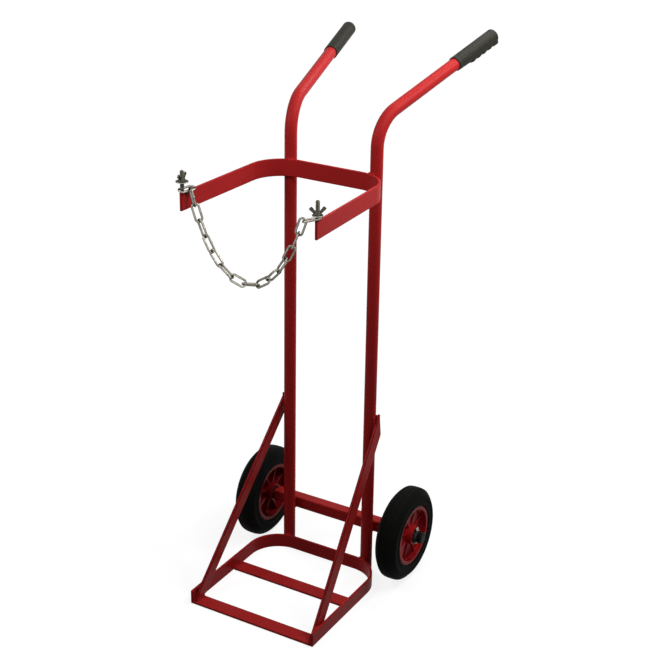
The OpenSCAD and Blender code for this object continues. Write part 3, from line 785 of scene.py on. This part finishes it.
def tyre(side, sign):
    """Solid tyre: crowned tread with two fine grooves, sloping shoulders, a sunk panel in each sidewall."""
    half = np.array([[22.2, 0], [24, 2.0], [24, 6.4], [23.1, 7.2], [23.1, 15.2], [24, 16.0], [24, 21.6],
                     [13.6, 34.4], [8.2, 35.3], [7.8, 34.4], [6.2, 34.5], [5.8, 35.6]]) * MM
    half[:, 1] += RIM_R + PUSH_FIT
    rounding = np.array([0.8, 1.2, 0.5, 0.5, 0.5, 0.5, 7, 6, 0.4, 0.3, 0.3, 0.4]) * MM
    outline = softened(clockwise_closed(half), np.concatenate([rounding, rounding[::-1]]), 6)
    solid = wheel_ring(outline, sign)
    make_piece(f"{side}_tyre_ring", [(solid, True)], f"{side}_wheel", TYRE, [f"{side}_tyre"])


def wheel_centre(side, sign):
    """Moulded centre: ring, web and hub in one turned outline, and ribs on both sides of the web, which lies
    towards the outside."""
    wall = 5 * MM
    bore = BUSH_R + PUSH_FIT
    lip = 8.5 * MM
    half_web = 2 * MM
    slope = 2.5 * MM
    halves = []
    for web in (half_web + WEB_SHIFT, half_web - WEB_SHIFT):
        halves.append(np.array([
            [HUB_HALF, bore], [HUB_HALF, HUB_R - 1 * MM], [web + slope, HUB_R + 0.5 * MM],
            [web, HUB_R + 3 * MM], [web, RIM_R - wall - 4 * MM], [web + slope, RIM_R - wall - 0.5 * MM],
            [RIM_HALF - 5 * MM, RIM_R - wall], [RIM_HALF - slope, RIM_R - lip],
            [RIM_HALF, RIM_R - lip + 1 * MM], [RIM_HALF, RIM_R]]))
    outline = refined(softened(clockwise_closed(*halves), 1.1 * MM, 5), 1.2 * MM)
    solids = [(wheel_ring(outline, sign), True)]
    foot = np.array([sign * WHEEL_X, AXLE[1], AXLE[2]])
    inner, outer, deep = HUB_R - 3 * MM, RIM_R - wall + 1 * MM, 13 * MM
    rib = softened([[inner, -deep], [outer, -deep], [outer, deep], [inner, deep]], 1 * MM)
    for angle in (np.arange(RIB_COUNT) + 0.5) * 2 * np.pi / RIB_COUNT:
        spoke = math.cos(angle) * UP + math.sin(angle) * BACK
        solids.append((plate(rib, foot, spoke, ACROSS, RIB_T, 0.9 * MM), False))
    make_piece(f"{side}_wheel_moulding", solids, f"{side}_wheel", WHEEL_RED,
               [f"{side}_wheel_centre"])


def plain_ring(name, node, body, axis, inner, outer, edge, finish):
    """Flat ring with round edges in the place of its CAD node."""
    low, high = span(node)
    along = np.argmax(np.abs(axis))
    thick = (high - low)[along] / 2
    half = np.array([[thick, inner], [thick, outer]])
    outline = refined(softened(clockwise_closed(half), edge, 5), edge)
    solid = turned((low + high) / 2, axis, BACK, outline[:, 0], outline[:, 1], 64)
    make_piece(name, [(solid, True)], body, finish, [node])


def axle():
    """Rod with chamfered ends."""
    low, high = span("axle_rod")
    half = (high[0] - low[0]) / 2
    edge = 1.2 * MM
    s = np.array([-half, -half + edge, half - edge, half])
    rod = turned(AXLE, ACROSS, UP, s, np.array([AXLE_R - edge, AXLE_R, AXLE_R, AXLE_R - edge]))
    make_piece("axle_bar", [(rod, False)], "frame", STEEL, ["axle_rod"])


def split_pin(side):
    """Bent wire in one flat path: a leg, round the eye, the other leg, with both tips spread."""
    low, high = span(f"{side}_split_pin")
    mid = (low + high) / 2
    wire = 1.25 * MM
    eye_r = 3.9 * MM
    top = high[2] - wire - eye_r
    a = np.linspace(-0.42 * np.pi, 1.42 * np.pi, 40)
    eye = np.stack([eye_r * np.cos(a), top + eye_r * np.sin(a)], axis=-1)
    leg_top = AXLE[2] + 13 * MM
    leg_len = 27.5 * MM
    bent_from = 0.72
    t = np.linspace(0, 1, 14)[:, None]
    spread = 3.2 * MM * np.clip((t - bent_from) / (1 - bent_from), 0, 1) ** 1.6
    leg = np.concatenate([0.7 * wire + spread, leg_top - t * leg_len], axis=1)
    flat = np.concatenate([leg[::-1], eye, leg * [-1, 1]])
    path = np.stack([np.full(len(flat), mid[0]), mid[1] + flat[:, 0], flat[:, 1]], axis=-1)
    ahead = unit(np.gradient(path, axis=0))
    pin = carried(path, ahead, ACROSS, wire * ring(14)[None])
    make_piece(f"{side}_split_wire", [(pin, False)], "frame", BRIGHT, [f"{side}_split_pin"])


def axle_cap(side, sign):
    """Push-on cap with a smooth collar, fine ribs, r + rib |cos 16 a|, and a rounded end."""
    low, high = span(f"{side}_axle_cap")
    foot = np.array([low[0] if sign > 0 else high[0], AXLE[1], AXLE[2]])
    length = high[0] - low[0]
    radius = (high[1] - low[1]) / 2
    barrel = radius - 0.5 * MM
    rib = 0.45 * MM
    edge = 2 * MM
    t = np.linspace(0, np.pi / 2, 7)[1:]
    s = np.concatenate([[0, 0, 0.5 * MM, 1.5 * MM, 2.2 * MM], np.linspace(3 * MM, length - edge, 4),
                        length - edge + edge * np.sin(t)])
    r = np.concatenate([[AXLE_R, barrel, radius, radius, barrel], np.full(4, barrel),
                        barrel - edge + edge * np.cos(t)])
    steps = 128
    a = np.linspace(0, 2 * np.pi, steps, endpoint=False)
    ribbed = np.where((s > 2 * MM) & (s < length - 1.5 * MM), rib, 0.0)
    r = r[:, None] + ribbed[:, None] * np.abs(np.cos(16 * a))[None]
    cap = turned(foot, sign * ACROSS, UP, s, r, steps)
    make_piece(f"{side}_end_cap", [(cap, False)], "frame", CAP, [f"{side}_axle_cap"])


# Chain, studs and wing nuts

def threaded_stud(side):
    """Stud with a real thread: radius less depth times a triangle wave of (s / rise - a / 2 pi), flat at its
    crest and root, and a chamfered tip."""
    low, high = span(f"{side}_stud")
    length = high[2] - low[2]
    steps, rows_a_turn = 32, 10
    crest, root, depth = 0.06 * MM, 0.55 * MM, 0.65 * MM
    tip_cut = 1.4 * MM
    s = np.linspace(0, length, int(length / THREAD_RISE * rows_a_turn) + 1)
    a = np.linspace(0, 1, steps, endpoint=False)
    phase = (s[:, None] / THREAD_RISE - a[None]) % 1
    cut = np.clip(depth * (1 - np.abs(2 * phase - 1)), crest, root)
    radius = STUD_R - 0.02 * MM - cut
    chamfer = STUD_R - tip_cut + (length - s)
    radius = np.minimum(radius, chamfer[:, None])
    foot = np.array([(low[0] + high[0]) / 2, (low[1] + high[1]) / 2, low[2]])
    stud = turned(foot, UP, ACROSS, s, radius, steps)
    make_piece(f"{side}_threaded_stud", [(stud, False)], "frame", ZINC, [f"{side}_stud"],
               crease=70)
    toe = weld_bead_ring(foot)
    make_piece(f"{side}_stud_weld", [(toe, True)], "frame", RED)


def weld_bead_ring(foot):
    """Low ring of weld round a stud's foot, along an ellipse (p cos a, q sin a) squeezed to the bar's width,
    with a round section whose radius ripples, r (0.85 + 0.15 cos 11 a)."""
    a = np.linspace(0, 2 * np.pi, 60, endpoint=False)
    thick = 1.0 * MM * (0.85 + 0.15 * np.cos(11 * a))
    centre = np.stack([0.62 * STUD_R * np.cos(a), 1.05 * STUD_R * np.sin(a), 0 * a], axis=-1)
    outward = np.stack([np.cos(a), np.sin(a), 0 * a], axis=-1)
    section = ring(12)
    lump = section[None, :, :1] * outward[:, None] + section[None, :, 1:] * UP
    return (foot + centre[:, None] + thick[:, None, None] * lump)[:, ::-1]


def wing_nut(side):
    """Cast body with a flange, turned round the stud, and two lobed wings that spread upwards."""
    stud = middle(f"{side}_stud")
    foot = np.array([stud[0], stud[1], span(f"{side}_wing_nut")[0][2]])
    turn = math.radians(NUT_TURNS[side])
    outward = np.array([math.cos(turn), math.sin(turn), 0])
    shape = np.array([[0, 0], [0, 7], [1.6, 7], [2.4, 6.4], [6.2, 5.8], [7, 5.1], [7, 0]]) * MM
    shape[[0, -1], 1] = STUD_R + THREAD_PLAY
    body = softened(shape, 0.5 * MM, 5)
    solids = [(turned(foot, UP, outward, body[:, 0], body[:, 1]), True)]
    angle = math.radians(48)
    half = np.array([[0, 2.8], [5.4, 2.9], [9.3, 3.5], [13.5, 3.3]]) * MM
    lobe = softened(np.concatenate([half * [1, -1], half[::-1]]), 2.6 * MM, 6)
    for way in (outward, -outward):
        u = math.cos(angle) * way + math.sin(angle) * UP
        v = -math.sin(angle) * way + math.cos(angle) * UP
        root = foot + 4.6 * MM * way + 3.6 * MM * UP
        solids.append((plate(lobe, root, u, v, 2.9 * MM, 1.2 * MM), False))
    make_piece(f"{side}_wing_nut_casting", solids, f"{side}_nut", ZINC, [f"{side}_wing_nut"])


def frame_points(node):
    """Corners of a CAD node's mesh."""
    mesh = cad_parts[node].data
    co = np.empty(len(mesh.vertices) * 3)
    mesh.vertices.foreach_get("co", co)
    return co.reshape(-1, 3)


def link_axes(node):
    """Middle, long direction and width direction of a link, from the spread of its CAD surface:
    the middle and the main axes of the triangles' second moments."""
    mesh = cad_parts[node].data
    mesh.calc_loop_triangles()
    tri = np.empty(len(mesh.loop_triangles) * 3, np.int64)
    mesh.loop_triangles.foreach_get("vertices", tri)
    p = frame_points(node)[tri.reshape(-1, 3)]
    area = np.linalg.norm(np.cross(p[:, 1] - p[:, 0], p[:, 2] - p[:, 0]), axis=1)
    mid = np.average(p.mean(1), axis=0, weights=area)
    q = p - mid
    spread = np.einsum("t,tki,tkj->ij", area, q, q)
    spread = spread + 9 * np.einsum("t,ti,tj->ij", area, q.mean(1), q.mean(1))
    axes = np.linalg.eigh(spread)[1]
    return mid, axes[:, 2], axes[:, 1]


def chain_link(number):
    """Wire carried round two straights and two half circles; one leg has the bulge of its butt weld, where
    the radius is r (1 + 0.16 exp(-(s / w)^2))."""
    node = f"chain_link_{number:02d}"
    mid, long_way, width_way = link_axes(node)
    bow = (np.ptp((frame_points(node) - mid) @ width_way) - 2 * LINK_WIRE_R) / 2
    leg = LINK_ENDS / 2 - bow
    a = np.linspace(-np.pi / 2, np.pi / 2, 17)
    near = np.stack([leg + bow * np.cos(a), bow * np.sin(a)], axis=-1)
    bulge_w = 1.1 * MM
    seam = np.linspace(2.4 * MM, -2.4 * MM, 9)
    weld = np.stack([seam, np.full(len(seam), bow)], axis=-1)
    flat = np.concatenate([near, weld, -near])
    swell = np.ones(len(flat))
    swell[len(near):len(near) + len(seam)] += 0.16 * np.exp(-(seam / bulge_w) ** 2)
    heading = np.stack([-np.sin(a), np.cos(a)], axis=-1)
    heading = np.concatenate([heading, np.repeat([[-1.0, 0.0]], len(seam), 0), -heading])
    plane = np.stack([long_way, width_way])
    wire = carried(mid + flat @ plane, heading @ plane, np.cross(long_way, width_way),
                   ((LINK_WIRE_R + ZINC_COAT) * swell)[:, None, None] * ring(24)[None])
    body = "frame" if number in (1, LINK_COUNT) else "chain"
    make_piece(f"welded_link_{number:02d}", [(wire, True)], body, CHAIN, [node], crease=80)


for side, sign in SIDES:
    upright(side, sign)
    grip(side, sign)
    brace(side, sign)
    tyre(side, sign)
    wheel_centre(side, sign)
    plain_ring(f"{side}_bush_sleeve", f"{side}_bush", f"{side}_wheel", sign * ACROSS,
               AXLE_R + BUSH_PLAY, BUSH_R, 0.4 * MM, STEEL)
    for place in ("inner", "outer"):
        plain_ring(f"{side}_{place}_axle_ring", f"{side}_{place}_washer", "frame", sign * ACROSS,
                   AXLE_R + PUSH_FIT, AXLE_RING_R, 0.5 * MM, DARK_WASHER_ZINC)
    split_pin(side)
    axle_cap(side, sign)
    threaded_stud(side)
    plain_ring(f"{side}_stud_ring", f"{side}_stud_washer", f"{side}_washer", UP,
               STUD_R + THREAD_PLAY, STUD_RING_R[side], 0.4 * MM, PALE)
    wing_nut(side)
band("upper_band_bar", "upper_band", UPPER_CORNER_X, ARM_SPLAY, ARM_REACH, BAND_TOP, BAND_W)
band("base_band_bar", "base_band", BASE_CORNER_X, 0.0, BASE_REACH, BAR_W, BAR_W)
straight_bar("front_deck_bar", "base_front_bar", DECK_W, BAR_T, BAR_EDGE)
straight_bar("middle_deck_bar", "base_middle_bar", DECK_W, BAR_T, BAR_EDGE)
straight_bar("axle_box", "axle_beam", BEAM_SIDE, BEAM_SIDE, BEAM_EDGE)
frame_welds()
axle()
for number in range(1, LINK_COUNT + 1):
    chain_link(number)


# Floor, light and camera

def background_rays(tree):
    """1 for rays that should see a white background: from the camera, reflected or let through."""
    path = add(tree, "ShaderNodeLightPath").outputs
    seen = path["Is Camera Ray"]
    for other in ("Is Glossy Ray", "Is Transmission Ray"):
        seen = calculated(tree, "MAXIMUM", seen, path[other])
    return seen


def floor_finish():
    """White that shows to the camera, a little less near the trolley, over a grey that takes the shadow and
    throws back little light."""
    material = bpy.data.materials.new("studio_floor")
    material.use_nodes = True
    tree = material.node_tree
    tree.nodes.clear()
    background = background_rays(tree)
    matte = add(tree, "ShaderNodeBsdfDiffuse", [("Color", scaled(tree, background, 0.16, 0.3))])
    coords = add(tree, "ShaderNodeTexCoord").outputs["Object"]
    away = add(tree, "ShaderNodeVectorMath", [(0, coords)], operation="LENGTH").outputs["Value"]
    near, far, near_share = 0.35, 1.3, 0.86
    share = mapped(tree, away, near, far, near_share, interpolation_type="SMOOTHSTEP")
    share = calculated(tree, "MULTIPLY", share, background)
    white = add(tree, "ShaderNodeEmission", [("Color", (1, 1, 1, 1)), ("Strength", share)])
    both = add(tree, "ShaderNodeAddShader", [(0, matte.outputs[0]), (1, white.outputs[0])])
    add(tree, "ShaderNodeOutputMaterial", [("Surface", both.outputs[0])])
    return material


def floor():
    """Large square floor, a hair under the feet."""
    half_side = 14.0
    level = -0.2 * MM
    mesh = bpy.data.meshes.new("studio_floor")
    corner = np.array([[-1, -1], [1, -1], [1, 1], [-1, 1]]) * half_side
    mesh.from_pydata(np.c_[corner, np.full(4, level)].tolist(), [], [[0, 1, 2, 3]])
    mesh.materials.append(floor_finish())
    obj = bpy.data.objects.new("studio_floor", mesh)
    bpy.context.scene.collection.objects.link(obj)


def studio_world():
    """Even pale light; white where the camera or a reflection looks at it."""
    world = bpy.data.worlds.new("studio_world")
    world.use_nodes = True
    tree = world.node_tree
    tree.nodes.clear()
    glow = add(tree, "ShaderNodeBackground", [("Color", (1, 1, 1, 1)), ("Strength", 0.06)])
    white = add(tree, "ShaderNodeBackground", [("Color", (1, 1, 1, 1)), ("Strength", 1.0)])
    mix = add(tree, "ShaderNodeMixShader", [("Fac", background_rays(tree)), (1, glow.outputs[0]),
                                            (2, white.outputs[0])])
    add(tree, "ShaderNodeOutputWorld", [("Surface", mix.outputs[0])])
    bpy.context.scene.world = world


def aimed(name, data, right, above, behind, place):
    """Object for a lamp or camera at a place, turned by its three directions."""
    matrix = np.eye(4)
    matrix[:3, :3] = np.stack([right, above, behind], axis=1)
    matrix[:3, 3] = place
    obj = bpy.data.objects.new(name, data)
    obj.matrix_world = matrix.T.tolist()
    bpy.context.scene.collection.objects.link(obj)
    return obj


def soft_lamp(name, place, target, size, power):
    """Square area lamp that looks at a point."""
    lamp = bpy.data.lights.new(name, "AREA")
    lamp.size = size
    lamp.energy = power
    away = unit(np.asarray(place, float) - np.asarray(target, float))
    right = unit(np.cross(UP, away))
    aimed(name, lamp, right, np.cross(away, right), away, place)


def camera():
    """Camera at the photograph's place, from its yaw, pitch and roll and its focal length in pixels."""
    yaw, pitch, roll = np.radians([30.11, 23.33, -0.89])
    focal_px, image_px, sensor_mm = 1462.1, 665, 36
    shift_px = (0.5, -6.4)
    place = np.array([1364.1 * MM, -2346.3 * MM + UPRIGHT_Y, 1712.1 * MM])
    right = np.array([math.cos(yaw), math.sin(yaw), 0])
    ahead = np.array([-math.sin(yaw) * math.cos(pitch), math.cos(yaw) * math.cos(pitch), -math.sin(pitch)])
    down = np.cross(ahead, right)
    level = math.cos(roll) * right + math.sin(roll) * down
    under = -math.sin(roll) * right + math.cos(roll) * down
    data = bpy.data.cameras.new("photo_camera")
    data.sensor_width = sensor_mm
    data.lens = focal_px / image_px * sensor_mm
    data.shift_x = shift_px[0] / image_px
    data.shift_y = shift_px[1] / image_px
    bpy.context.scene.camera = aimed("photo_camera", data, level, -under, -ahead, place)


floor()
studio_world()
soft_lamp("front_lamp", (0.6, -0.2, 1.5), (0, 0.05, 1.0), 0.5, 4.4)
soft_lamp("left_lamp", (-0.6, -0.8, 1.5), (0, -0.05, 1.0), 0.5, 5.5)
soft_lamp("right_lamp", (0.7, 0.4, 1.5), (0, -0.05, 1.0), 0.32, 5.0)
soft_lamp("back_lamp", (0.2, 0.65, 1.5), (0, 0.1, 1.0), 0.45, 4.5)
camera()
bpy.context.scene.view_settings.view_transform = "Standard"
